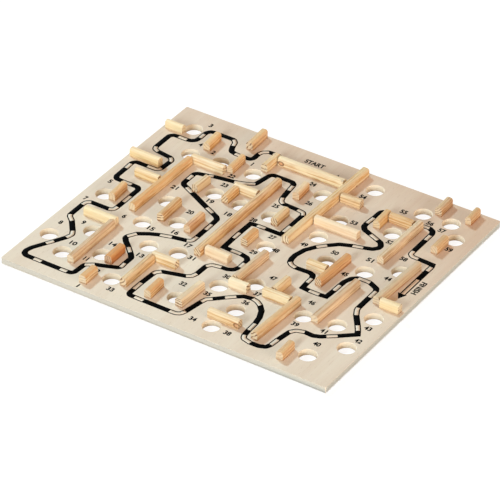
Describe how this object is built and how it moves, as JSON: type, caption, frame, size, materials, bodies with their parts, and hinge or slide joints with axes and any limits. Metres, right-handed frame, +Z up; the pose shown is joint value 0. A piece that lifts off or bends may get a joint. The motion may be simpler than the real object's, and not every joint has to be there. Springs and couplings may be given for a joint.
{
  "type": "wooden labyrinth game plate",
  "caption": "Flat wooden marble maze plate: a drilled plywood board with low wall strips glued on top, which a player tilts to steer a marble along the printed route past the holes.",
  "frame": {"origin": "on the floor plane under the centre of the board", "axes": "+X along the front edge to the right, +Y to the back edge where the marble starts, +Z up"},
  "size_m": [0.275, 0.235, 0.0118],
  "materials": {
    "board_plywood": "sanded, unvarnished birch plywood",
    "strip_pine": "planed pine strip, clear matt finish"
  },
  "bodies": {
    "root": {"maze_board": "board_plywood", "wall_back_left": "strip_pine", "wall_by_4": "strip_pine", "wall_by_22": "strip_pine", "start_return": "strip_pine", "left_spine": "strip_pine", "wall_by_23": "strip_pine", "wall_by_19": "strip_pine", "middle_spine": "strip_pine", "wall_by_24": "strip_pine", "wall_by_25": "strip_pine", "start_divider": "strip_pine", "wall_by_56": "strip_pine", "wall_by_57": "strip_pine", "wall_by_52": "strip_pine", "right_spine": "strip_pine", "wall_by_59": "strip_pine", "finish_wall": "strip_pine", "wall_by_45": "strip_pine", "wall_by_46": "strip_pine", "wall_by_5": "strip_pine", "wall_by_20": "strip_pine", "wall_by_16": "strip_pine", "wall_by_29": "strip_pine", "wall_by_48": "strip_pine", "wall_by_10": "strip_pine", "wall_by_14": "strip_pine", "wall_by_12": "strip_pine", "wall_by_13": "strip_pine", "wall_by_33": "strip_pine", "wall_by_32": "strip_pine", "wall_by_47": "strip_pine", "wall_by_39": "strip_pine", "wall_by_40": "strip_pine", "cross_by_3": "strip_pine", "cross_left": "strip_pine", "cross_by_21": "strip_pine", "cross_by_22": "strip_pine", "start_rail": "strip_pine", "cross_by_6": "strip_pine", "cross_by_18": "strip_pine", "cross_by_54": "strip_pine", "cross_by_53": "strip_pine", "cross_by_55": "strip_pine", "cross_by_17": "strip_pine", "cross_by_31": "strip_pine", "cross_by_30": "strip_pine", "cross_by_37": "strip_pine", "cross_by_50": "strip_pine", "finish_stop": "strip_pine", "cross_by_38": "strip_pine"}
  },
  "joints": []
}
